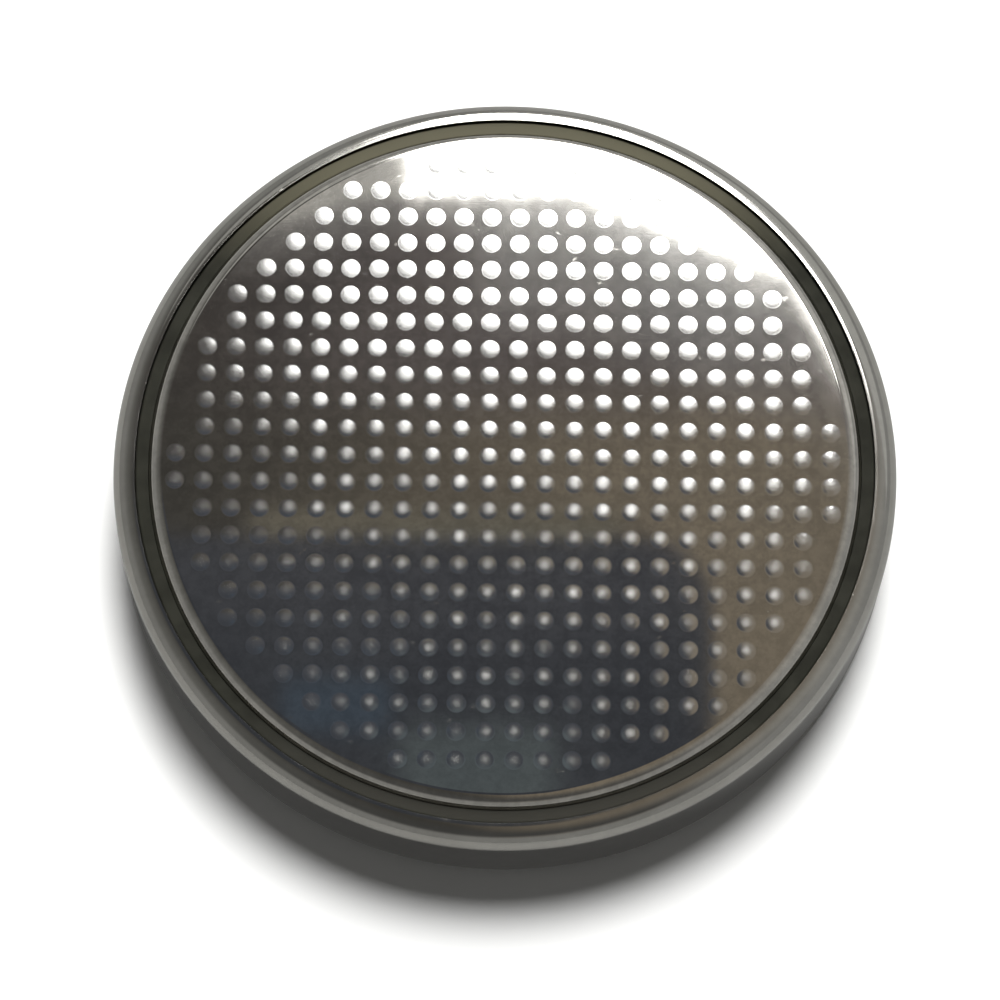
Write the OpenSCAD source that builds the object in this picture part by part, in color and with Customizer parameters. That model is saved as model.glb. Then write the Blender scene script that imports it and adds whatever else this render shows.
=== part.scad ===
// Lithium coin cell in the standard 20 mm by 3.2 mm size, as the seven pieces that it is closed from.
// It stands on its positive can. The origin is the middle of the can's base, and +Z points out of the
// negative cap's face. Every piece is a revolve round Z, so each module draws half of its own section,
// and the cap's face carries a grid of embossed dots besides.

/* [Cell] */
// Diameter over the positive can
cell_d = 20; // [16:0.5:30]
// Height over all, from the can's base to the tops of the cap's dots
cell_h = 3.2; // [2.6:0.1:5.5]

/* [Positive can] */
// Thickness of the can's steel sheet
can_t = 0.25; // [0.2:0.01:0.3]
// Outer radius of the bend between base and wall
can_base_r = 0.5; // [0.35:0.05:0.7]
// Outer radius of the crimp that closes the can's mouth
crimp_r = 0.58; // [0.45:0.01:0.65]
// Angle through which the crimp turns the wall inward
crimp_angle = 90; // [90:5:110]
// Depth of the crimp's crest below the cap's face
rim_drop = 0.2; // [0.05:0.05:0.4]

/* [Negative cap] */
// Thickness of the cap's steel sheet
cap_t = 0.25; // [0.2:0.01:0.3]
// Outer radius of the bend between face and wall
face_r = 0.38; // [0.3:0.01:0.5]
// Radius of the hollow bend where the wall turns out into the shoulder
neck_r = 0.08; // [0.05:0.01:0.2]
// Width of the flat ledge between neck and shoulder
ledge_w = 0.04; // [0.02:0.01:0.2]
// Outer radius of the shoulder bend
shoulder_r = 0.3; // [0.3:0.05:0.4]
// Slit left inside the folded hem
hem_slit = 0.04; // [0.03:0.01:0.1]
// Height left free between the hem's cut edge and the ledge
hem_clear = 0.3; // [0.2:0.05:0.6]

/* [Embossed dots] */
// Spacing of the dots' rows and columns
dot_pitch = 0.723; // [0.6:0.001:1.5]
// Diameter of a dot
dot_d = 0.5; // [0.3:0.02:0.56]
// Height of a dot above the face
dot_h = 0.005; // [0.005:0.001:0.06]
// Plain margin between the outermost dots and the bend round the face
dot_margin = 0.05; // [0.02:0.01:1]
// Turn of the grid about the cell's axis, in degrees
dot_turn = -0.7; // [-45:0.1:45]
// Place of the dot next to the cell's axis, along the rows
dot_shift_x = 0.31; // [-0.35:0.01:0.35]
// Place of the dot next to the cell's axis, along the columns
dot_shift_y = 0.09; // [-0.35:0.01:0.35]

/* [Gasket] */
// Thickness of the gasket between can wall and hem
gasket_t = 0.23; // [0.18:0.01:0.3]
// Thickness of the gasket between crimp and ledge
gasket_cover_t = 0.29; // [0.2:0.01:0.4]
// Thickness of the foot under the hem
gasket_foot_t = 0.3; // [0.2:0.05:0.5]
// Thickness of the lip inside the hem
gasket_lip_t = 0.3; // [0.2:0.05:0.4]
// Height of the lip above the foot
gasket_lip_h = 0.8; // [0.3:0.05:0.8]
// Height of the gasket's collar below the crimp's crest
collar_drop = 0.1; // [0.05:0.01:0.15]
// Radius on the collar's top edge, beside the crimp's lip
collar_edge_r = 0.07; // [0.03:0.01:0.1]

/* [Electrodes] */
// Thickness of the lithium disc
lithium_t = 0.6; // [0.3:0.05:0.8]
// Thickness of the separator
separator_t = 0.15; // [0.1:0.01:0.2]
// Outer radius of the separator's turned-down edge
separator_edge_r = 0.3; // [0.25:0.05:0.4]
// Depth of the separator's skirt round the pellet
separator_skirt_h = 0.9; // [0.5:0.05:1.1]
// Thickness of the cathode ring's steel sheet
ring_t = 0.2; // [0.15:0.01:0.25]
// Outer radius of the ring's bend
ring_bend_r = 0.35; // [0.3:0.05:0.4]
// Width of the ring's foot, from its outside
ring_foot_w = 1; // [0.6:0.1:2]
// Depth of the ring's rim below the pellet's top
ring_drop = 0.65; // [0.4:0.05:0.8]
// Radius on the pellet's top edge
pellet_edge_r = 0.05; // [0.02:0.01:0.15]

/* [Clearances] */
// Film of sealant between gasket and steel
film = 0.01; // [0.005:0.005:0.015]
// Gap between gasket lip and separator
separator_gap = 0.15; // [0.1:0.05:0.3]
// Gap between separator skirt and cathode ring
ring_gap = 0.05; // [0.02:0.01:0.1]
// Gap between pellet and cathode ring
pellet_gap = 0.05; // [0.02:0.01:0.1]
// Gap between lithium disc and the start of the cap's face bend
lithium_gap = 0.65; // [0.1:0.05:1]
// How much more a corner is rounded than the bend that it sits in
corner_relief = 0.05; // [0.02:0.01:0.08]

/* [Hidden] */
$fn = 128;

// Can: inner radius, height where the crimp starts, height of its crest
can_r = cell_d / 2;
can_in_r = can_r - can_t;
crest_z = cell_h - dot_h - rim_drop;
crimp_z = crest_z - crimp_r;
// Radius of the lip's cut edge, where the crimp ends
lip_end_r = can_r - crimp_r - crimp_r * sin(crimp_angle - 90);

// Cap: height of the face between its dots, radius over the hem, radius over the wall below the face,
// top of the ledge
face_z = cell_h - dot_h;
hem_r = can_in_r - gasket_t - 2 * film;
cap_r = hem_r - shoulder_r - ledge_w - neck_r;
ledge_z = crest_z - can_t - gasket_cover_t - film;
// Hem: outer radius of the fold, radius of the hem's inside, height of the fold's centre and of the cut edge
fold_r = cap_t + hem_slit / 2;
hem_in_r = hem_r - 2 * fold_r;
fold_z = can_t + gasket_foot_t + film + fold_r;
hem_top_z = ledge_z - cap_t - hem_clear;
// Dots: radius of the dome, how far the outermost may be from the axis, rows to try on each side
dome_r = (pow(dot_d / 2, 2) + pow(dot_h, 2)) / (2 * dot_h);
dot_reach = cap_r - face_r - dot_margin - dot_d / 2;
dot_rows = ceil(dot_reach / dot_pitch) + 1;

// Stack of electrodes, from the cap down
lithium_z = face_z - cap_t - lithium_t;
separator_z = lithium_z - separator_t;
pellet_h = separator_z - can_t;
// Radii of the stack, from the gasket's lip inward
gasket_in_r = hem_in_r - film - gasket_lip_t;
separator_r = gasket_in_r - separator_gap;
ring_r = separator_r - separator_t - ring_gap;
ring_h = pellet_h - ring_drop;
pellet_r = ring_r - ring_t - pellet_gap;
pellet_foot_r = ring_r - ring_foot_w - pellet_gap;
lithium_r = cap_r - face_r - lithium_gap;
// Small overshoot, so that cuts pass through
over = 1;

// Bent sheet: outer radius r, thickness t, turned about the origin from +X through angle a. A bend no
// wider than its sheet has a square inside corner.
module bend(r, t, a = 90) {
    difference() {
        circle(r = r);
        if (r > t) circle(r = r - t);
        translate([-2 * r, -4 * r]) square(4 * r);
        rotate(a) translate([-2 * r, 0]) square(4 * r);
    }
}

// What rounding a square corner to radius r takes away
module corner_cut(r) {
    difference() {
        square(r + over);
        circle(r = r);
    }
}

// Block from the axis out to radius r, between two heights, with its lower and upper edges rounded
module block(r, z0, z1, low_r = 0, high_r = 0) {
    difference() {
        translate([0, z0]) square([r, z1 - z0]);
        if (low_r > 0) translate([r - low_r, z0 + low_r]) mirror([0, 1]) corner_cut(low_r);
        if (high_r > 0) translate([r - high_r, z1 - high_r]) corner_cut(high_r);
    }
}

// The can's crimp, thickened by g on both faces
module crimp_section(g = 0) {
    translate([can_r - crimp_r, crimp_z]) bend(crimp_r + g, can_t + 2 * g, crimp_angle);
}

// The cap's sheet from the middle of its face to the cut edge of its hem, thickened by g on both faces
module cap_section(g = 0) {
    t = cap_t + 2 * g;
    // Face and the bend round its edge
    translate([0, face_z - cap_t - g]) square([cap_r - face_r, t]);
    translate([cap_r - face_r, face_z - face_r]) bend(face_r + g, t);
    // Wall, neck and ledge
    translate([cap_r - cap_t - g, ledge_z + neck_r]) square([t, face_z - face_r - ledge_z - neck_r]);
    translate([cap_r + neck_r, ledge_z + neck_r]) rotate(180) bend(neck_r + cap_t + g, t);
    translate([cap_r + neck_r, ledge_z - cap_t - g]) square([ledge_w, t]);
    // Shoulder and skirt
    translate([hem_r - shoulder_r, ledge_z - shoulder_r]) bend(shoulder_r + g, t);
    translate([hem_r - cap_t - g, fold_z]) square([t, ledge_z - shoulder_r - fold_z]);
    // Hem, folded in and up
    translate([hem_r - fold_r, fold_z]) rotate(180) bend(fold_r + g, t, 180);
    translate([hem_in_r - g, fold_z]) square([t, hem_top_z - fold_z + g]);
}

// Cap and hem as one shape without the slit, as the gasket feels it
module cap_bed() {
    cap_section(film);
    translate([hem_r - fold_r, fold_z]) circle(r = fold_r);
    translate([hem_in_r, fold_z]) square([2 * fold_r, hem_top_z - fold_z]);
}

module positive_can() {
    color([0.66, 0.65, 0.61]) rotate_extrude() {
        square([can_r - can_base_r, can_t]);
        translate([can_r - can_base_r, can_base_r]) rotate(-90) bend(can_base_r, can_t);
        translate([can_in_r, can_base_r]) square([can_t, crimp_z - can_base_r]);
        crimp_section();
    }
}

// One embossed dot: a shallow dome with a root that sits in the sheet
module dot() {
    rotate_extrude() intersection() {
        translate([0, dot_h - dome_r]) circle(r = dome_r);
        translate([0, -cap_t / 2]) square([dot_d / 2, cap_t / 2 + dot_h]);
    }
}

// Square grid of dots, cut off in a circle
module dots() {
    for (i = [-dot_rows:dot_rows], j = [-dot_rows:dot_rows]) {
        place = [i * dot_pitch + dot_shift_x, j * dot_pitch + dot_shift_y];
        if (norm(place) < dot_reach) rotate(dot_turn) translate([place[0], place[1], face_z]) dot();
    }
}

module negative_cap() {
    color([0.72, 0.71, 0.67]) {
        rotate_extrude() cap_section();
        dots();
    }
}

module gasket() {
    foot_edge_r = can_base_r - can_t + corner_relief;
    color([0.16, 0.16, 0.17]) rotate_extrude() difference() {
        union() {
            // Wall along the can, turned in between crimp and ledge
            difference() {
                block(can_in_r - film, can_t, crest_z - can_t - film, foot_edge_r, crimp_r - can_t - film);
                translate([0, -over]) square([hem_r - cap_t / 2, ledge_z - cap_t / 2 + over]);
                square([cap_r - cap_t / 2, cell_h]);
            }
            // Foot under the hem, and the lip inside it
            translate([gasket_in_r, can_t]) square([hem_r - gasket_in_r, gasket_foot_t + gasket_lip_h]);
            // Collar that shows between cap and crimp
            difference() {
                block(lip_end_r - film, ledge_z, crest_z - collar_drop, 0, collar_edge_r);
                square([cap_r - cap_t / 2, cell_h]);
            }
        }
        cap_bed();
        crimp_section(film);
    }
}

module cathode_ring() {
    color([0.60, 0.60, 0.58]) rotate_extrude() {
        translate([ring_r - ring_foot_w, can_t]) square([ring_foot_w - ring_bend_r, ring_t]);
        translate([ring_r - ring_bend_r, can_t + ring_bend_r]) rotate(-90) bend(ring_bend_r, ring_t);
        translate([ring_r - ring_t, can_t + ring_bend_r]) square([ring_t, ring_h - ring_bend_r]);
    }
}

module cathode_pellet() {
    rebate_r = ring_bend_r - ring_t + corner_relief;
    color([0.12, 0.12, 0.12]) rotate_extrude() {
        translate([0, can_t]) square([pellet_foot_r, ring_t]);
        block(pellet_r, can_t + ring_t, separator_z, rebate_r, pellet_edge_r);
    }
}

module separator() {
    color([0.93, 0.93, 0.90]) rotate_extrude() {
        translate([0, separator_z]) square([separator_r - separator_edge_r, separator_t]);
        translate([separator_r - separator_edge_r, lithium_z - separator_edge_r])
            bend(separator_edge_r, separator_t);
        translate([separator_r - separator_t, separator_z - separator_skirt_h])
            square([separator_t, separator_skirt_h + separator_t - separator_edge_r]);
    }
}

module lithium_disc() {
    color([0.75, 0.76, 0.78]) rotate_extrude() block(lithium_r, lithium_z, lithium_z + lithium_t);
}

positive_can();
cathode_ring();
cathode_pellet();
separator();
lithium_disc();
gasket();
negative_cap();
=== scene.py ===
import math
import random

import bpy
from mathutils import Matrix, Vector
from mathutils.geometry import delaunay_2d_cdt


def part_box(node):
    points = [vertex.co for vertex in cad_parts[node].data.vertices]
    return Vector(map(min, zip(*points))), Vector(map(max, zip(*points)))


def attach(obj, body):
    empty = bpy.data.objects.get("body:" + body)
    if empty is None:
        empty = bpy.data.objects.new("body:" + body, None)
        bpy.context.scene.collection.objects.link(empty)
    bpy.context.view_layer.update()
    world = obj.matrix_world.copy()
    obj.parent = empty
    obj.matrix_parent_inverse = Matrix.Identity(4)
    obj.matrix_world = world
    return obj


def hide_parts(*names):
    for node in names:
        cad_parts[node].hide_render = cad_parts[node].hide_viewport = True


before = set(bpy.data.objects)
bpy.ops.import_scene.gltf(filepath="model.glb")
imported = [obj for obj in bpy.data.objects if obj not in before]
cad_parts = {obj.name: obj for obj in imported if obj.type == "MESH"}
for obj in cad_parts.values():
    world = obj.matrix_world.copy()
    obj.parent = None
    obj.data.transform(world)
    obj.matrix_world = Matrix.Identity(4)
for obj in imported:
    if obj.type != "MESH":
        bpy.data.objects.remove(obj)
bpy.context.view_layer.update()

# The looks of a lithium coin cell: the can and the cap as fine revolves with the cap's embossed dots, the
# finish of every piece, the room that their steel reflects, and the camera. Lengths are in metres.
MM = 0.001

# Steel sheet and its bends, as the frame's pieces have them
SHEET = 0.25 * MM
BASE_BEND_R = 0.5 * MM
CRIMP_R = 0.58 * MM
FACE_BEND_R = 0.38 * MM
FACE_FLAT_R = 8.7 * MM
NECK_R = 0.08 * MM
SHOULDER_R = 0.3 * MM
HEM_SLIT = 0.04 * MM
HEM_CLEAR = 0.3 * MM
GASKET_COVER = 0.29 * MM
SEALANT = 0.01 * MM

# Embossed dots of the cap's face: a square grid, turned and shifted a little, cut off in a circle
FACE_RISE = 0.2 * MM
DOT_PITCH = 0.723 * MM
DOT_R = 0.25 * MM
DOT_H = 0.005 * MM
DOT_MARGIN = 0.05 * MM
DOT_TURN = math.radians(-0.7)
DOT_SHIFT = (0.31 * MM, 0.09 * MM)
DOT_SIDES = 20
DOT_RINGS = 5

# The rows in front are pressed less deep: the least share of the height, and where it starts and ends to grow
PRESS_LEAST = 0.45
PRESS_FRONT, PRESS_BACK = -6 * MM, 2 * MM

# Each dot also has a random share of that height, from this least one up to all of it
CHANCE_LEAST = 0.85
CHANCE_SEED = 7

# Plus sign pressed into the can's base
PLUS_ARM = 2.6 * MM
PLUS_HALF_W = 0.45 * MM
PLUS_DEPTH = 0.06 * MM
PLUS_SLOPE_W = 0.07 * MM

# Fineness of the revolves, the radius that counts as on their axis, and where the base's flat middle starts
TURN_STEPS = 256
BEND_STEP = 6
ON_AXIS_R = 1e-9
FLAT_BASE_R = 6 * MM

# Material slots of the shells: plain sheet, the cap's dots and the can's stamped plus sign
GROUND, DOTS, STAMP = 0, 1, 1

# How mathutils fills an outline with holes, and its slack in millimetres
INSIDE_WITH_HOLES = 2
FILL_SLACK = 1e-6

# Places taken from the frame
can_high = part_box("positive_can")[1]
cap_low, cap_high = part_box("negative_cap")
CAN_R = can_high.x
CREST_Z = can_high.z
CRIMP_Z = CREST_Z - CRIMP_R
HEM_R = cap_high.x
HEM_Z = cap_low.z
FACE_Z = CREST_Z + FACE_RISE
CAP_R = FACE_FLAT_R + FACE_BEND_R
BEND_MIDDLE_R = FACE_FLAT_R + FACE_BEND_R / 2
LEDGE_Z = CREST_Z - SHEET - GASKET_COVER - SEALANT


# ---------- Sections and revolves ----------

def turn_at(k, steps):
    """Angle of the k-th of so many equal steps round a circle."""
    return 2 * math.pi * k / steps


def line(start, end):
    """Straight stretch of a section: its ends, each with the outward normal."""
    across, up = end[0] - start[0], end[1] - start[1]
    length = math.hypot(across, up)
    normal = (up / length, -across / length)
    return [(start, normal), (end, normal)]


def arc(centre, radius, start, end):
    """Round stretch of a section between two angles in degrees. One that turns clockwise is hollow."""
    steps = max(2, round(abs(end - start) / BEND_STEP))
    side = 1 if end > start else -1
    points = []
    for k in range(steps + 1):
        angle = math.radians(start + (end - start) * k / steps)
        c, s = math.cos(angle), math.sin(angle)
        points.append(((centre[0] + radius * c, centre[1] + radius * s), (side * c, side * s)))
    return points


def can_section():
    """The can's sheet, from the middle of its base round the crimp and back inside."""
    inner_r = CAN_R - SHEET
    base_centre = (CAN_R - BASE_BEND_R, BASE_BEND_R)
    crimp_centre = (CAN_R - CRIMP_R, CRIMP_Z)
    lip_r = crimp_centre[0]
    return [
        line((FLAT_BASE_R, 0), (base_centre[0], 0)),
        arc(base_centre, BASE_BEND_R, -90, 0),
        line((CAN_R, BASE_BEND_R), (CAN_R, CRIMP_Z)),
        arc(crimp_centre, CRIMP_R, 0, 90),
        line((lip_r, CREST_Z), (lip_r, CREST_Z - SHEET)),
        arc(crimp_centre, CRIMP_R - SHEET, 90, 0),
        line((inner_r, CRIMP_Z), (inner_r, BASE_BEND_R)),
        arc(base_centre, BASE_BEND_R - SHEET, 0, -90),
        line((base_centre[0], SHEET), (0, SHEET)),
    ]


def cap_section():
    """The cap's sheet, from the middle of its underside round the hem to the edge of the dotted face."""
    fold_r = SHEET + HEM_SLIT / 2
    fold_centre = (HEM_R - fold_r, HEM_Z + fold_r)
    hem_in_r = HEM_R - 2 * fold_r
    hem_top = LEDGE_Z - SHEET - HEM_CLEAR
    face_centre = (FACE_FLAT_R, FACE_Z - FACE_BEND_R)
    neck_centre = (CAP_R + NECK_R, LEDGE_Z + NECK_R)
    shoulder_centre = (HEM_R - SHOULDER_R, LEDGE_Z - SHOULDER_R)
    return [
        line((0, FACE_Z - SHEET), (face_centre[0], FACE_Z - SHEET)),
        arc(face_centre, FACE_BEND_R - SHEET, 90, 0),
        line((CAP_R - SHEET, face_centre[1]), (CAP_R - SHEET, neck_centre[1])),
        arc(neck_centre, NECK_R + SHEET, 180, 270),
        line((neck_centre[0], LEDGE_Z - SHEET), (shoulder_centre[0], LEDGE_Z - SHEET)),
        arc(shoulder_centre, SHOULDER_R - SHEET, 90, 0),
        line((HEM_R - SHEET, shoulder_centre[1]), (HEM_R - SHEET, fold_centre[1])),
        arc(fold_centre, HEM_SLIT / 2, 0, -180),
        line((hem_in_r + SHEET, fold_centre[1]), (hem_in_r + SHEET, hem_top)),
        line((hem_in_r + SHEET, hem_top), (hem_in_r, hem_top)),
        line((hem_in_r, hem_top), (hem_in_r, fold_centre[1])),
        arc(fold_centre, fold_r, 180, 360),
        line((HEM_R, fold_centre[1]), (HEM_R, shoulder_centre[1])),
        arc(shoulder_centre, SHOULDER_R, 0, 90),
        line((shoulder_centre[0], LEDGE_Z), (neck_centre[0], LEDGE_Z)),
        arc(neck_centre, NECK_R, 270, 180),
        line((CAP_R, neck_centre[1]), (CAP_R, face_centre[1])),
        arc(face_centre, FACE_BEND_R, 0, 90),
    ]


class Shell:
    """Vertices, faces with their materials, and a normal for each face corner."""

    def __init__(self):
        self.vertices, self.faces, self.normals, self.slots = [], [], [], []

    def vertex(self, x, y, z):
        self.vertices.append((x, y, z))
        return len(self.vertices) - 1

    def face(self, corners, normals, slot=GROUND):
        self.faces.append(corners)
        self.normals.extend(normals)
        self.slots.append(slot)

    def ring(self, r, z):
        """One vertex on the axis, or a ring of them round it."""
        if r < ON_AXIS_R:
            return [self.vertex(0, 0, z)]
        turns = [turn_at(k, TURN_STEPS) for k in range(TURN_STEPS)]
        return [self.vertex(r * math.cos(t), r * math.sin(t), z) for t in turns]

    def revolve(self, section):
        """Revolves the section's stretches and returns its first and last rings."""
        rings = []
        for stretch in section:
            if not rings:
                rings.append(self.ring(*stretch[0][0]))
            for (_, from_normal), (to_point, to_normal) in zip(stretch, stretch[1:]):
                rings.append(self.ring(*to_point))
                self.band(rings[-2], rings[-1], from_normal, to_normal)
        return rings[0], rings[-1]

    def band(self, low, high, low_normal, high_normal):
        """Faces between two rings."""
        for k in range(TURN_STEPS):
            here, there = turn_at(k, TURN_STEPS), turn_at(k + 1, TURN_STEPS)
            after = (k + 1) % TURN_STEPS
            corners, normals = [], []
            for ring, step, turn, normal in (
                (low, k, here, low_normal), (low, after, there, low_normal),
                (high, after, there, high_normal), (high, k, here, high_normal),
            ):
                corner = ring[step % len(ring)]
                if corner in corners:
                    continue
                corners.append(corner)
                normals.append((normal[0] * math.cos(turn), normal[0] * math.sin(turn), normal[1]))
            self.face(corners, normals)

    def fill(self, outline, holes, z, slot, up=1):
        """Flat region at height z inside a closed outline, without its holes. All are lists of vertices."""
        loops = [outline, *holes]
        used = [v for loop in loops for v in loop]
        place = {v: k for k, v in enumerate(used)}
        areas = [[place[v] for v in loop] for loop in loops]
        flat = [Vector(self.vertices[v][:2]) / MM for v in used]
        _, _, triangles, origins, _, _ = delaunay_2d_cdt(flat, [], areas, INSIDE_WITH_HOLES, FILL_SLACK)
        for triangle in triangles:
            corners = [used[origins[v][0]] for v in triangle]
            a, b, c = (Vector(self.vertices[v][:2]) for v in corners)
            if (b - a).cross(c - a) * up < 0:
                corners.reverse()
            self.face(corners, [(0, 0, up)] * 3, slot)

    def piece(self, name, materials):
        """The shell as an object of the scene."""
        mesh = bpy.data.meshes.new(name)
        mesh.from_pydata(self.vertices, [], self.faces)
        mesh.polygons.foreach_set("use_smooth", [True] * len(self.faces))
        mesh.polygons.foreach_set("material_index", self.slots)
        for made in materials:
            mesh.materials.append(made)
        mesh.normals_split_custom_set(self.normals)
        mesh.update()
        obj = bpy.data.objects.new(name, mesh)
        bpy.context.scene.collection.objects.link(obj)
        return obj


# ---------- The cap's dots ----------

def dot_places():
    """Centres of the dots: the grid's points that lie whole inside the flat face."""
    reach = FACE_FLAT_R - DOT_MARGIN - DOT_R
    rows = math.ceil(reach / DOT_PITCH) + 1
    c, s = math.cos(DOT_TURN), math.sin(DOT_TURN)
    places = []
    for i in range(-rows, rows + 1):
        for j in range(-rows, rows + 1):
            x, y = i * DOT_PITCH + DOT_SHIFT[0], j * DOT_PITCH + DOT_SHIFT[1]
            if math.hypot(x, y) < reach:
                places.append((x * c - y * s, x * s + y * c))
    return places


def pressed(y):
    """Share of the full height that the dots at y have."""
    growth = min(1, max(0, (y - PRESS_FRONT) / (PRESS_BACK - PRESS_FRONT)))
    return PRESS_LEAST + (1 - PRESS_LEAST) * growth


def dome_rings(shell, centre, height):
    """Rings of a dome's vertices with their normals, from its foot up. The foot is rounded into the face."""
    dome_r = (DOT_R ** 2 + height ** 2) / (2 * height)
    steepest = math.asin(DOT_R / dome_r)
    rings = []
    for k in range(DOT_RINGS):
        lean = steepest * (1 - k / DOT_RINGS)
        tilt = lean if k else 0.0
        r, z = dome_r * math.sin(lean), FACE_Z + height - dome_r * (1 - math.cos(lean))
        ring = []
        for m in range(DOT_SIDES):
            c, s = math.cos(turn_at(m, DOT_SIDES)), math.sin(turn_at(m, DOT_SIDES))
            vertex = shell.vertex(centre[0] + r * c, centre[1] + r * s, z)
            ring.append((vertex, (math.sin(tilt) * c, math.sin(tilt) * s, math.cos(tilt))))
        rings.append(ring)
    return rings


def add_dot(shell, centre, height):
    """A shallow dome on the face. Returns the ring of vertices at its foot."""
    rings = dome_rings(shell, centre, height)
    for low, high in zip(rings, rings[1:]):
        for m in range(DOT_SIDES):
            after = (m + 1) % DOT_SIDES
            corners = [low[m], low[after], high[after], high[m]]
            shell.face([v for v, _ in corners], [n for _, n in corners], DOTS)
    top = (shell.vertex(*centre, FACE_Z + height), (0, 0, 1))
    last = rings[-1]
    for m in range(DOT_SIDES):
        corners = [last[m], last[(m + 1) % DOT_SIDES], top]
        shell.face([v for v, _ in corners], [n for _, n in corners], DOTS)
    return [v for v, _ in rings[0]]


def make_cap(materials):
    shell = Shell()
    _, rim = shell.revolve(cap_section())
    chance = random.Random(CHANCE_SEED)
    feet = []
    for place in dot_places():
        height = DOT_H * pressed(place[1]) * chance.uniform(CHANCE_LEAST, 1)
        feet.append(add_dot(shell, place, height))
    shell.fill(rim, feet, FACE_Z, GROUND)
    return shell.piece("cap_shell", materials)


# ---------- The can ----------

def plus_outline(grow):
    """Corners of the plus sign, its arms widened by grow on every side."""
    arm, half = PLUS_ARM / 2 + grow, PLUS_HALF_W + grow
    quarter = [(arm, -half), (arm, half), (half, half)]
    points = []
    for c, s in ((1, 0), (0, 1), (-1, 0), (0, -1)):
        points += [(x * c - y * s, x * s + y * c) for x, y in quarter]
    return points


def make_can(materials):
    shell = Shell()
    middle, _ = shell.revolve(can_section())
    mouth = [shell.vertex(x, y, 0) for x, y in plus_outline(0)]
    floor = [shell.vertex(x, y, PLUS_DEPTH) for x, y in plus_outline(-PLUS_SLOPE_W)]
    for k, (low, high) in enumerate(zip(mouth, floor)):
        after = (k + 1) % len(mouth)
        corners = [low, high, floor[after], mouth[after]]
        a, b, c = (Vector(shell.vertices[v]) for v in corners[:3])
        normal = (b - a).cross(c - a).normalized()
        shell.face(corners, [tuple(normal)] * 4, STAMP)
    shell.fill(middle, [mouth], 0, GROUND, up=-1)
    shell.fill(floor, [], PLUS_DEPTH, STAMP, up=-1)
    return shell.piece("can_shell", materials)


# ---------- Nodes ----------

BLACK, WHITE = (0.0, 0.0, 0.0), (1.0, 1.0, 1.0)


def add_node(tree, kind, **values):
    """A node with its properties set, and its inputs by the names given with spaces as underscores."""
    made = tree.nodes.new(kind)
    for name, value in values.items():
        if hasattr(made, name) and name not in made.inputs:
            setattr(made, name, value)
        else:
            made.inputs[name.replace("_", " ")].default_value = value
    return made


def plain_math(tree, operation, *terms, clamp=False):
    """A Math node of numbers and sockets. Returns its output."""
    made = add_node(tree, "ShaderNodeMath", operation=operation, use_clamp=clamp)
    for socket, term in zip(made.inputs, terms):
        if isinstance(term, (int, float)):
            socket.default_value = term
        else:
            tree.links.new(term, socket)
    return made.outputs[0]


def product(tree, *terms):
    """All the terms multiplied."""
    total = terms[0]
    for term in terms[1:]:
        total = plain_math(tree, "MULTIPLY", total, term)
    return total


def ramp(tree, value, from_low, from_high, to_low=0.0, to_high=1.0, smooth=True):
    """Value carried from one range to another, held at the ends."""
    made = tree.nodes.new("ShaderNodeMapRange")
    made.interpolation_type = "SMOOTHSTEP" if smooth else "LINEAR"
    tree.links.new(value, made.inputs["Value"])
    ends = {"From Min": from_low, "From Max": from_high, "To Min": to_low, "To Max": to_high}
    for name, number in ends.items():
        made.inputs[name].default_value = number
    return made.outputs["Result"]


def mix_colours(tree, share, first, second):
    """The first colour with a share of the second. Each is a socket or plain numbers."""
    made = add_node(tree, "ShaderNodeMix", data_type="RGBA")
    sockets = [s for s in made.inputs if s.enabled]
    for socket, term in zip(sockets, (share, first, second)):
        if isinstance(term, bpy.types.NodeSocket):
            tree.links.new(term, socket)
        else:
            socket.default_value = term if isinstance(term, (int, float)) else (*term, 1.0)
    return [s for s in made.outputs if s.enabled][0]


def coordinates(tree, kind):
    """Sockets x, y and z of a texture coordinate."""
    place = tree.nodes.new("ShaderNodeTexCoord")
    split = tree.nodes.new("ShaderNodeSeparateXYZ")
    tree.links.new(place.outputs[kind], split.inputs[0])
    return split.outputs


def axis_distance(tree):
    """Distance from the cell's axis."""
    place = tree.nodes.new("ShaderNodeTexCoord")
    flat = add_node(tree, "ShaderNodeVectorMath", operation="MULTIPLY")
    flat.inputs[1].default_value = (1, 1, 0)
    tree.links.new(place.outputs["Object"], flat.inputs[0])
    length = add_node(tree, "ShaderNodeVectorMath", operation="LENGTH")
    tree.links.new(flat.outputs["Vector"], length.inputs[0])
    return length.outputs["Value"]


def noise(tree, scale, detail, stretch=(1, 1, 1), roughness=0.5):
    """Noise over the piece's own coordinates. scale is in features for each millimetre."""
    place = tree.nodes.new("ShaderNodeTexCoord")
    mapping = tree.nodes.new("ShaderNodeMapping")
    mapping.inputs["Scale"].default_value = tuple(s / MM for s in stretch)
    tree.links.new(place.outputs["Object"], mapping.inputs["Vector"])
    made = add_node(tree, "ShaderNodeTexNoise", Scale=scale, Detail=detail, Roughness=roughness)
    tree.links.new(mapping.outputs["Vector"], made.inputs["Vector"])
    return made.outputs["Fac"]


def bump(tree, height, distance):
    made = add_node(tree, "ShaderNodeBump", Distance=distance)
    tree.links.new(height, made.inputs["Height"])
    return made.outputs["Normal"]


def shader(name, **values):
    """A new material with a Principled shader, some of its inputs set. Returns the material, its tree and the
    shader."""
    made = bpy.data.materials.new(name)
    made.use_nodes = True
    tree = made.node_tree
    tree.nodes.clear()
    principled = add_node(tree, "ShaderNodeBsdfPrincipled", **values)
    output = tree.nodes.new("ShaderNodeOutputMaterial")
    tree.links.new(principled.outputs["BSDF"], output.inputs["Surface"])
    return made, tree, principled


# ---------- Materials ----------

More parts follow.
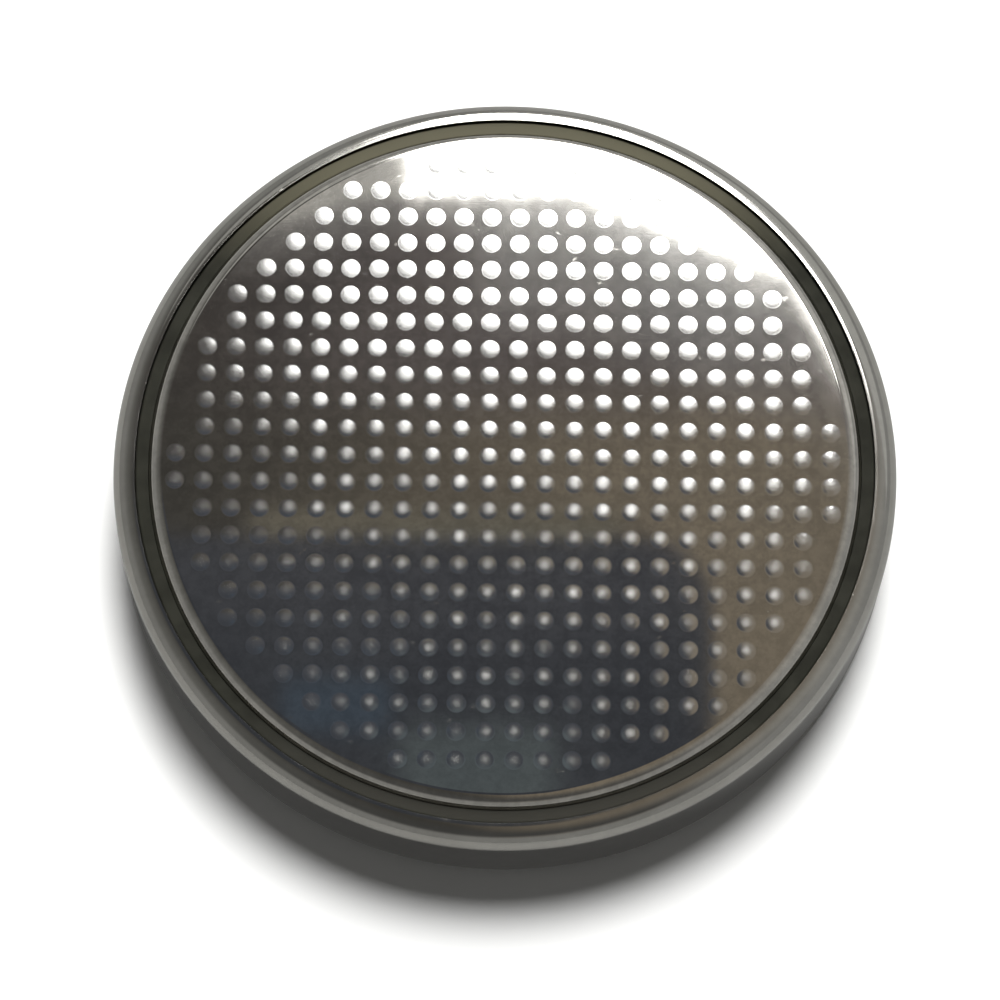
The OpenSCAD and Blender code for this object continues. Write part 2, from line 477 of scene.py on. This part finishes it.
# Marks in the steel, as noise: features for each millimetre, detail and stretch
CLOUDS = dict(scale=0.35, detail=4)
SPECKS = dict(scale=2.2, detail=5, roughness=0.7)
SMEARS = dict(scale=1.3, detail=5, stretch=(1, 0.35, 1))
SCUFFS = dict(scale=1.9, detail=5, stretch=(1, 1.6, 1))
WAVES = dict(scale=0.6, detail=2)
ROLLING_LINES = dict(scale=3, detail=3, stretch=(1, 9, 1))

# The part of the noise's range that those marks are made of
CLOUD_RANGE, SPECK_RANGE = (0.35, 0.65), (0.35, 0.65)
SMEAR_RANGE, SCUFF_RANGE = (0.3, 0.75), (0.66, 0.76)

# Finishes of the steel pieces: two tones, least and most roughness, heights of waves and of rolling lines
# in millimetres, the roughness that scuffs add, and the darkness of specks. The cap's drawn bend is rougher.
CAP_FINISH = dict(
    light=(0.62, 0.6, 0.56), dark=(0.56, 0.545, 0.515), smooth=0.028, rough=0.036,
    waves=0.0001, lines=0.00002, scuffed=0.08, specked=0.16, drawn=0.13)
CAN_FINISH = dict(
    light=(0.495, 0.485, 0.457), dark=(0.46, 0.45, 0.423), smooth=0.1, rough=0.14,
    waves=0.0002, lines=0.0001, scuffed=0.1, specked=0.07)
STAMP_FINISH = dict(
    light=(0.3, 0.295, 0.28), dark=(0.26, 0.255, 0.24), smooth=0.3, rough=0.4,
    waves=0.0002, lines=0.0001, scuffed=0.1, specked=0.16)
RING_FINISH = dict(
    light=(0.56, 0.56, 0.54), dark=(0.48, 0.48, 0.46), smooth=0.25, rough=0.4,
    waves=0.0006, lines=0.0004, scuffed=0.0, specked=0.16)

# Wear of the dots: roughness of flank and crown, and how pointed the worn spot is, each from front to back.
# The crown keeps a share of it at both sides, and it differs from dot to dot.
DOT_LIGHT, DOT_DARK = (0.66, 0.655, 0.64), (0.6, 0.595, 0.58)
FLANK_ROUGH = (0.06, 0.1)
CROWN_ROUGH = (0.18, 0.2, 0.27)
SPOT_POWER = (2.8, 0.5)
SIDE_WEAR = 0.6
WEAR_SPREAD = 0.2
WEAR_NOISE, WEAR_RANGE = dict(scale=1.1, detail=2), (0.35, 0.65)

# Where that wear changes: in the front part, in the back part, at the left and right, and for the worn spot
WEAR_FRONT, WEAR_BACK = (-7 * MM, 3 * MM), (1 * MM, 5 * MM)
WEAR_LEFT, WEAR_RIGHT = (-7 * MM, -3.7 * MM), (6.2 * MM, 8.6 * MM)
SPOT_SPAN = (-6 * MM, 5 * MM)

# Gasket: bare plastic, clouded with a paler shade, and painted light that makes it paler in front and behind
GASKET_BARE, GASKET_PALER = (0.017, 0.017, 0.0135), 1.5
FRONT_PAINTED_LIGHT, FRONT_PAINTED_LIGHT_SPAN = (0.032, 0.031, 0.026), (-9 * MM, -6 * MM)
BACK_PAINTED_LIGHT, BACK_PAINTED_LIGHT_SPAN = (0.095, 0.089, 0.062), (5 * MM, 8.5 * MM)
GASKET_ROUGH = (0.45, 0.6)
GASKET_SHINE = 0.03
GASKET_CLOUDS, GASKET_SMEARS = dict(scale=1.5, detail=3), dict(scale=6, detail=2)
GASKET_RANGE = (0.3, 0.7)
GASKET_GRAIN, GASKET_GRAIN_H = dict(scale=12, detail=2), 0.002 * MM

# Pellet: black powder and paler grains, with smoother flakes
POWDER_TONES = (0.012, 0.012, 0.013), (0.06, 0.058, 0.055)
POWDER_GRAIN, POWDER_RANGE, POWDER_GRAIN_H = dict(scale=9, detail=6), (0.35, 0.7), 0.03 * MM
FLAKE_RANGE, FLAKE_ROUGH = (0.6, 0.72), (0.85, 0.4)

# Separator: fibres that run both ways
FELT_TONES = (0.62, 0.62, 0.58), (0.9, 0.9, 0.86)
FELT_ROUGH = 0.9
FIBRES_BACK = dict(scale=4, detail=4, stretch=(1, 7, 1))
FIBRES_ACROSS = dict(scale=4, detail=4, stretch=(7, 1, 1))
FIBRE_RANGE, FIBRE_H = (0.4, 0.7), 0.02 * MM

# Lithium: pale metal and tarnish, with marks of its rolling
LITHIUM_TONES = (0.62, 0.63, 0.65), (0.3, 0.3, 0.31)
LITHIUM_METALLIC = 0.9
LITHIUM_ROUGH = (0.35, 0.65)
TARNISH, TARNISH_RANGE = dict(scale=0.5, detail=6), (0.45, 0.62)
ROLL_MARKS, ROLL_MARK_H = dict(scale=2, detail=4, stretch=(1, 6, 1)), 0.01 * MM


def clouded(tree, dark, light):
    """Colour of sheet steel: two tones in soft clouds."""
    return mix_colours(tree, ramp(tree, noise(tree, **CLOUDS), *CLOUD_RANGE), dark, light)


def steel(name, light, dark, smooth, rough, waves, lines, scuffed, specked, drawn=0.0):
    """Sheet steel: clouds and specks, gloss that varies, small scuffs, waves and fine rolling lines."""
    made, tree, principled = shader(name, Metallic=1.0)
    specks = ramp(tree, noise(tree, **SPECKS), *SPECK_RANGE, 0, specked)
    colour = mix_colours(tree, specks, clouded(tree, dark, light), BLACK)
    tree.links.new(colour, principled.inputs["Base Color"])
    gloss = ramp(tree, noise(tree, **SMEARS), *SMEAR_RANGE, smooth, rough)
    scuffs = ramp(tree, noise(tree, **SCUFFS), *SCUFF_RANGE, 0, scuffed)
    gloss = plain_math(tree, "ADD", gloss, scuffs)
    if drawn:
        bent = ramp(tree, axis_distance(tree), FACE_FLAT_R, BEND_MIDDLE_R, 0, drawn)
        gloss = plain_math(tree, "ADD", gloss, bent)
    tree.links.new(gloss, principled.inputs["Roughness"])
    swell = product(tree, noise(tree, **WAVES), waves)
    rolled = product(tree, noise(tree, **ROLLING_LINES), lines)
    height = plain_math(tree, "ADD", swell, rolled)
    tree.links.new(bump(tree, height, MM), principled.inputs["Normal"])
    return made


def crown_roughness(tree, x, y):
    """Roughness of the dots' crowns: least in front and at both sides, and different from dot to dot."""
    front, middle, back = CROWN_ROUGH
    crown = plain_math(
        tree, "ADD", ramp(tree, y, *WEAR_FRONT, front, middle), ramp(tree, y, *WEAR_BACK, 0, back - middle))
    left = ramp(tree, x, *WEAR_LEFT, SIDE_WEAR, 1)
    right = ramp(tree, x, *WEAR_RIGHT, 1, SIDE_WEAR)
    spread = (1 - WEAR_SPREAD, 1 + WEAR_SPREAD)
    chance = ramp(tree, noise(tree, **WEAR_NOISE), *WEAR_RANGE, *spread, smooth=False)
    return product(tree, crown, product(tree, left, right, chance))


def dot_steel(name):
    """Steel of the embossed dots: a scuffed crown on a smoother flank."""
    made, tree, principled = shader(name, Metallic=1.0)
    tree.links.new(clouded(tree, DOT_DARK, DOT_LIGHT), principled.inputs["Base Color"])
    x, y, z = coordinates(tree, "Object")
    flank = ramp(tree, y, *WEAR_BACK, *FLANK_ROUGH)
    dot_height = ramp(tree, y, PRESS_FRONT, PRESS_BACK, PRESS_LEAST * DOT_H, DOT_H, smooth=False)
    height = plain_math(tree, "DIVIDE", plain_math(tree, "SUBTRACT", z, FACE_Z), dot_height, clamp=True)
    spot = plain_math(tree, "POWER", height, ramp(tree, y, *SPOT_SPAN, *SPOT_POWER))
    scuff = product(tree, plain_math(tree, "SUBTRACT", crown_roughness(tree, x, y), flank), spot)
    tree.links.new(plain_math(tree, "ADD", flank, scuff), principled.inputs["Roughness"])
    return made


def moulded_plastic(name):
    """Dark moulded polypropylene with a faint grain, and painted light that makes it paler in front and
    behind.
    """
    made, tree, principled = shader(name, Specular_IOR_Level=GASKET_SHINE)
    shade = ramp(tree, noise(tree, **GASKET_CLOUDS), *GASKET_RANGE)
    colour = mix_colours(tree, shade, GASKET_BARE, tuple(GASKET_PALER * c for c in GASKET_BARE))
    _, y, _ = coordinates(tree, "Object")
    # Painted light: the gasket is made paler in front and behind, standing in for the light that falls on it
    # there.
    colour = mix_colours(tree, ramp(tree, y, *FRONT_PAINTED_LIGHT_SPAN, 1, 0), colour, FRONT_PAINTED_LIGHT)
    colour = mix_colours(tree, ramp(tree, y, *BACK_PAINTED_LIGHT_SPAN), colour, BACK_PAINTED_LIGHT)
    tree.links.new(colour, principled.inputs["Base Color"])
    gloss = ramp(tree, noise(tree, **GASKET_SMEARS), *GASKET_RANGE, *GASKET_ROUGH)
    tree.links.new(gloss, principled.inputs["Roughness"])
    tree.links.new(bump(tree, noise(tree, **GASKET_GRAIN), GASKET_GRAIN_H), principled.inputs["Normal"])
    return made


def pressed_powder(name):
    """Black manganese dioxide and graphite, pressed: a fine grain with scattered shiny flakes."""
    made, tree, principled = shader(name)
    grain = noise(tree, **POWDER_GRAIN)
    colour = mix_colours(tree, ramp(tree, grain, *POWDER_RANGE), *POWDER_TONES)
    tree.links.new(colour, principled.inputs["Base Color"])
    tree.links.new(ramp(tree, grain, *FLAKE_RANGE, *FLAKE_ROUGH), principled.inputs["Roughness"])
    tree.links.new(bump(tree, grain, POWDER_GRAIN_H), principled.inputs["Normal"])
    return made


def felt(name):
    """White nonwoven polypropylene: crossing fibres."""
    made, tree, principled = shader(name, Roughness=FELT_ROUGH)
    fibres = plain_math(tree, "MAXIMUM", noise(tree, **FIBRES_BACK), noise(tree, **FIBRES_ACROSS))
    colour = mix_colours(tree, ramp(tree, fibres, *FIBRE_RANGE), *FELT_TONES)
    tree.links.new(colour, principled.inputs["Base Color"])
    tree.links.new(bump(tree, fibres, FIBRE_H), principled.inputs["Normal"])
    return made


def lithium_metal(name):
    """Soft pale metal with darker tarnished patches."""
    made, tree, principled = shader(name, Metallic=LITHIUM_METALLIC)
    patches = ramp(tree, noise(tree, **TARNISH), *TARNISH_RANGE)
    tree.links.new(mix_colours(tree, patches, *LITHIUM_TONES), principled.inputs["Base Color"])
    tree.links.new(ramp(tree, patches, 0, 1, *LITHIUM_ROUGH), principled.inputs["Roughness"])
    tree.links.new(bump(tree, noise(tree, **ROLL_MARKS), ROLL_MARK_H), principled.inputs["Normal"])
    return made


def finish_node(name, made):
    """Gives a piece of the frame its material."""
    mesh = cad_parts[name].data
    mesh.materials.clear()
    mesh.materials.append(made)


# ---------- Camera, floor and light ----------

# Camera at the photo's viewing angle
SHOT_ELEVATION = math.radians(72)
SHOT_DISTANCE = 110 * MM
SHOT_AIM = Vector((-0.127 * MM, -1.077 * MM, 3.2 * MM))
SHOT_FOCAL_MM = 156.5
SENSOR_MM = 36
CLIP_NEAR, CLIP_FAR = 0.01, 20

# Floor: the pale one that the camera sees, and a greyer one that only the steel sees
FLOOR_R = 4.0
FLOOR_SIDES = 96
FLOOR_DROP = 0.01 * MM
FLOOR_COLOUR, MIRRORED_COLOUR = (0.86, 0.86, 0.85), (0.28, 0.28, 0.27)
MIRRORED_GLOW = 0.05
MOTTLE, MOTTLE_RANGE, MOTTLE_PALER = dict(scale=0.05, detail=3), (0.3, 0.7), 1.04
FLOOR_ROUGH = 0.9

# Soft light from behind and above, a little to the right, so that the shadow falls forward
KEY_TOWARDS = Vector((0.1, 0.51, 1)).normalized()
KEY_DISTANCE = 0.6
KEY_SIZE = 0.3
KEY_POWER = 4.7


def place_looking(obj, spot, ahead):
    """Puts a camera or light in the scene at a spot, looking ahead."""
    obj.location = spot
    obj.rotation_mode = "QUATERNION"
    obj.rotation_quaternion = ahead.to_track_quat("-Z", "Y")
    bpy.context.scene.collection.objects.link(obj)


def make_camera():
    data = bpy.data.cameras.new("camera")
    data.sensor_width = SENSOR_MM
    data.lens = SHOT_FOCAL_MM
    data.clip_start, data.clip_end = CLIP_NEAR, CLIP_FAR
    camera = bpy.data.objects.new("camera", data)
    back = Vector((0, -math.cos(SHOT_ELEVATION), math.sin(SHOT_ELEVATION)))
    place_looking(camera, SHOT_AIM + back * SHOT_DISTANCE, -back)
    bpy.context.scene.camera = camera


def floor_disc(name, z, colour, glow=0.0):
    """A round floor of the stage, with a faint mottle. One that glows is never quite dark in the shade."""
    made, tree, principled = shader(
        name, Roughness=FLOOR_ROUGH, Specular_IOR_Level=0.0, Emission_Strength=glow)
    principled.inputs["Emission Color"].default_value = (*WHITE, 1.0)
    mottle = ramp(tree, noise(tree, **MOTTLE), *MOTTLE_RANGE)
    paler = tuple(min(1.0, MOTTLE_PALER * c) for c in colour)
    tree.links.new(mix_colours(tree, mottle, colour, paler), principled.inputs["Base Color"])
    turns = [turn_at(k, FLOOR_SIDES) for k in range(FLOOR_SIDES)]
    rim = [(FLOOR_R * math.cos(t), FLOOR_R * math.sin(t), z) for t in turns]
    mesh = bpy.data.meshes.new(name)
    mesh.from_pydata(rim, [], [list(range(FLOOR_SIDES))])
    mesh.materials.append(made)
    obj = bpy.data.objects.new(name, mesh)
    bpy.context.scene.collection.objects.link(obj)
    return obj


def make_floor():
    seen = floor_disc("floor", -FLOOR_DROP, FLOOR_COLOUR)
    seen.visible_glossy = False
    mirrored = floor_disc("floor_in_steel", -FLOOR_DROP / 2, MIRRORED_COLOUR, MIRRORED_GLOW)
    mirrored.visible_camera = False
    mirrored.visible_diffuse = False
    mirrored.visible_shadow = False


def make_key_light():
    data = bpy.data.lights.new("key", "AREA")
    data.shape = "DISK"
    data.size = KEY_SIZE
    data.energy = KEY_POWER
    key = bpy.data.objects.new("key", data)
    place_looking(key, KEY_TOWARDS * KEY_DISTANCE, -KEY_TOWARDS)
    key.visible_glossy = False


# ---------- The room that the steel reflects ----------

# It is painted on the sky. A direction has its parts x, y and z, and two slopes from straight up: across to
# the right, and along to the back. Slopes stay finite by a least z. Paints are the sky's own brightness.
LEAST_Z = 0.02

# Even light that matt pieces get from all sides instead of the room
ROOM_LIGHT = (0.08, 0.08, 0.08)

# Horizon and ceiling, the latter darker to the left in both of its parts, and the z between the two
HORIZON_PAINT, CEILING_Z = (0.33, 0.33, 0.32), (0.35, 0.75)
CEILING_PAINTS, CEILING_ACROSS = ((0.075, 0.072, 0.066), (0.25, 0.216, 0.17)), (-0.085, 0.06)
BACK_PAINTS, BACK_ACROSS = ((0.08, 0.074, 0.07), (0.155, 0.138, 0.138)), (-0.085, 0.0)
BACK_ALONG = (0.335, 0.365)

# Walls: left and right by x, in front by y and z
LEFT_PAINT, LEFT_X = (0.2, 0.2, 0.19), (-0.75, -0.08)
RIGHT_PAINT, RIGHT_X = (0.42, 0.41, 0.38), (0.08, 0.7)
FRONT_PAINT, FRONT_Y, FRONT_Z = (0.09, 0.09, 0.088), (-0.75, -0.1), (0.45, 0.65)

# Below the horizon, where only a look from underneath reaches
UNDER_PAINTS, UNDER_Y, UNDER_Z = ((0.16, 0.16, 0.155), (0.7, 0.7, 0.68)), (-0.6, 0.6), (-0.03, 0.0)

# Panels: left, right, near and far side in slopes, radius of the corners, softness of the edges
PHONE = (-0.3, 0.051, -0.05, 0.3158, 0.018, 0.0012)
PHONE_PAINTS, PHONE_ALONG = ((0.062, 0.068, 0.081), (0.079, 0.084, 0.098)), (0.275, 0.305)
PHONE_EDGE, PHONE_EDGE_PAINT = (-0.06, 0.03, 0.3141, 0.3226, 0.003, 0.003), (0.2, 0.185, 0.15)
PHONE_RIM, PHONE_RIM_PAINT = (-0.026, 0.026, 0.3155, 0.3172, 0.0005, 0.0006), (0.26, 0.25, 0.2)
TEAL_SPOT, TEAL_PAINT = (-0.052, -0.026, 0.267, 0.28, 0.004, 0.003), (0.072, 0.095, 0.128)
PALE_SPOT, PALE_PAINT = (-0.024, 0.013, 0.22, 0.268, 0.006, 0.005), (0.116, 0.138, 0.15)
WALL_BESIDE, WALL_BESIDE_PAINT = (-0.066, 0.0, -1.0, 0.6, 0.0, 0.01), (0.9, 0.9, 0.86)
WALL_LEFT, WALL_LEFT_PAINT = (-0.5, -0.05, 0.6, 2.0, 0.02, 0.01), (0.5, 0.5, 0.48)
WALL_RIGHT, WALL_RIGHT_PAINT = (0.22, 2.5, 0.55, 4.0, 0.02, 0.01), (0.62, 0.62, 0.6)
WINDOW_LOW = (-0.0218, 0.086, -1.0, 0.5, 0.0, 0.001)
WINDOW_MIDDLE = (-0.031, 0.3, 0.42, 1.15, 0.02, 0.01)
WINDOW_HIGH = (-0.09, 0.2, 0.6, 1.0, 0.02, 0.01)
WINDOW_TOP = (-0.2, 0.45, 0.95, 2.0, 0.02, 0.01)
WINDOW_PAINT = (12.0, 12.0, 11.8)

# The window's sill, and where it starts to fall away: the slope across, the side, and the fall
SILL_ALONG = 0.405
SILL_FALLS = ((0.018, 1, 0.42), (0.071, 1, 1.6), (-0.0218, -1, 0.25))
SILL_EDGE = (-0.001, 0.001)

# Faint glow and bloom below the sill: paint, rise towards the sill, and how they change across
GLOW_PAINT, GLOW_RISE, GLOW_SHARE = (0.5, 0.5, 0.5), (-0.042, -0.006), 0.9
GLOW_LEFT, GLOW_RIGHT, GLOW_RIGHT_SHARE = (-0.014, 0.004), (0.05, 0.08), 0.2
BLOOM_PAINT, BLOOM_RISE = (1.2, 1.2, 1.2), (-0.016, 0.0)
BLOOM_ACROSS, BLOOM_LEFT_SHARE = (-0.035, 0.03), 0.25
BLOOM_PANEL = (-0.065, 0.065, -1.0, 0.5, 0.0, 0.012)


class Sky:
    """The sky's colour, painted over step by step, with the parts and slopes of the direction looked in."""

    def __init__(self, tree, first):
        self.tree, self.colour = tree, first
        self.x, self.y, self.z = coordinates(tree, "Generated")
        height = plain_math(tree, "MAXIMUM", self.z, LEAST_Z)
        self.across = plain_math(tree, "DIVIDE", self.x, height)
        self.along = plain_math(tree, "DIVIDE", self.y, height)

    def ramp(self, value, *ends, smooth=True):
        return ramp(self.tree, value, *ends, smooth=smooth)

    def mix(self, share, first, second):
        return mix_colours(self.tree, share, first, second)

    def paint(self, share, colour):
        """Lays a share of a colour over the sky."""
        self.colour = self.mix(share, self.colour, colour)

    def panel(self, box):
        """Mask of a rectangle with round corners and soft edges."""
        left, right, near, far, corner, soft = box
        squares = []
        for value, low, high in ((self.across, left, right), (self.along, near, far)):
            off = plain_math(self.tree, "SUBTRACT", value, (low + high) / 2)
            off = plain_math(self.tree, "ABSOLUTE", off)
            off = plain_math(self.tree, "SUBTRACT", off, (high - low) / 2 - corner)
            off = plain_math(self.tree, "MAXIMUM", off, 0.0)
            squares.append(product(self.tree, off, off))
        gap = plain_math(self.tree, "SQRT", plain_math(self.tree, "ADD", *squares))
        return self.ramp(gap, corner - soft, corner + soft, 1, 0)

    def beyond_sill(self):
        """How far a place lies beyond the window's sill, which falls away from certain places on."""
        over = plain_math(self.tree, "SUBTRACT", self.along, SILL_ALONG)
        for start, side, fall in SILL_FALLS:
            past = product(self.tree, plain_math(self.tree, "SUBTRACT", self.across, start), side * fall)
            over = plain_math(self.tree, "ADD", over, plain_math(self.tree, "MAXIMUM", past, 0.0))
        return over


def paint_walls(sky):
    """The ceiling over the horizon, the walls at both sides and the dark one in front."""
    ceiling = sky.mix(sky.ramp(sky.across, *CEILING_ACROSS), *CEILING_PAINTS)
    back = sky.mix(sky.ramp(sky.across, *BACK_ACROSS), *BACK_PAINTS)
    overhead = sky.mix(sky.ramp(sky.along, *BACK_ALONG), ceiling, back)
    overhead = sky.mix(sky.ramp(sky.x, *LEFT_X, 1, 0), overhead, LEFT_PAINT)
    overhead = sky.mix(sky.ramp(sky.x, *RIGHT_X), overhead, RIGHT_PAINT)
    sky.paint(sky.ramp(sky.z, *CEILING_Z), overhead)
    front = product(sky.tree, sky.ramp(sky.y, *FRONT_Y, 1, 0), sky.ramp(sky.z, *FRONT_Z))
    sky.paint(front, FRONT_PAINT)


def paint_phone(sky):
    """The phone that took the photo, with its lit edge and two paler spots."""
    phone_paint = sky.mix(sky.ramp(sky.along, *PHONE_ALONG), *PHONE_PAINTS)
    for box, paint in (
        (PHONE_EDGE, PHONE_EDGE_PAINT), (PHONE_RIM, PHONE_RIM_PAINT), (PHONE, phone_paint),
        (TEAL_SPOT, TEAL_PAINT), (PALE_SPOT, PALE_PAINT),
    ):
        sky.paint(sky.panel(box), paint)


def paint_window(sky):
    """The bright window behind, the glow and bloom below its sill, and the walls beside it."""
    over = sky.beyond_sill()
    glow = product(
        sky.tree, sky.ramp(over, *GLOW_RISE, smooth=False), sky.ramp(sky.across, *GLOW_LEFT),
        sky.ramp(sky.across, *GLOW_RIGHT, 1, GLOW_RIGHT_SHARE), GLOW_SHARE)
    sky.paint(glow, GLOW_PAINT)
    bloom = product(
        sky.tree, sky.ramp(over, *BLOOM_RISE), sky.ramp(sky.across, *BLOOM_ACROSS, BLOOM_LEFT_SHARE, 1),
        sky.panel(BLOOM_PANEL))
    sky.paint(bloom, BLOOM_PAINT)
    beyond = sky.ramp(over, *SILL_EDGE)
    sky.paint(product(sky.tree, beyond, sky.panel(WALL_BESIDE)), WALL_BESIDE_PAINT)
    for box, paint in ((WALL_LEFT, WALL_LEFT_PAINT), (WALL_RIGHT, WALL_RIGHT_PAINT)):
        sky.paint(sky.panel(box), paint)
    sky.paint(product(sky.tree, beyond, sky.panel(WINDOW_LOW)), WINDOW_PAINT)
    for box in (WINDOW_MIDDLE, WINDOW_HIGH, WINDOW_TOP):
        sky.paint(sky.panel(box), WINDOW_PAINT)


def make_world():
    """The room for the steel, a dim even light for what is matt, and plain white for the camera."""
    world = bpy.data.worlds.new("studio")
    bpy.context.scene.world = world
    world.use_nodes = True
    tree = world.node_tree
    tree.nodes.clear()
    sky = Sky(tree, HORIZON_PAINT)
    paint_walls(sky)
    paint_phone(sky)
    paint_window(sky)
    sky.paint(sky.ramp(sky.z, *UNDER_Z, 1, 0), sky.mix(sky.ramp(sky.y, *UNDER_Y), *UNDER_PAINTS))
    path = tree.nodes.new("ShaderNodeLightPath")
    sky.paint(path.outputs["Is Diffuse Ray"], ROOM_LIGHT)
    sky.paint(path.outputs["Is Camera Ray"], WHITE)
    background = tree.nodes.new("ShaderNodeBackground")
    tree.links.new(sky.colour, background.inputs["Color"])
    output = tree.nodes.new("ShaderNodeOutputWorld")
    tree.links.new(background.outputs[0], output.inputs["Surface"])


# ---------- Putting it together ----------

cap = make_cap([steel("cap_steel", **CAP_FINISH), dot_steel("cap_dot_steel")])
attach(cap, "root")
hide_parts("negative_cap")

can = make_can([steel("can_steel", **CAN_FINISH), steel("stamp_steel", **STAMP_FINISH)])
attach(can, "root")
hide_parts("positive_can")

finish_node("gasket", moulded_plastic("gasket_plastic"))
finish_node("cathode_ring", steel("ring_steel", **RING_FINISH))
finish_node("cathode_pellet", pressed_powder("manganese_dioxide"))
finish_node("separator", felt("separator_felt"))
finish_node("lithium_disc", lithium_metal("lithium"))

make_camera()
make_floor()
make_key_light()
make_world()
bpy.context.scene.view_settings.view_transform = "Standard"
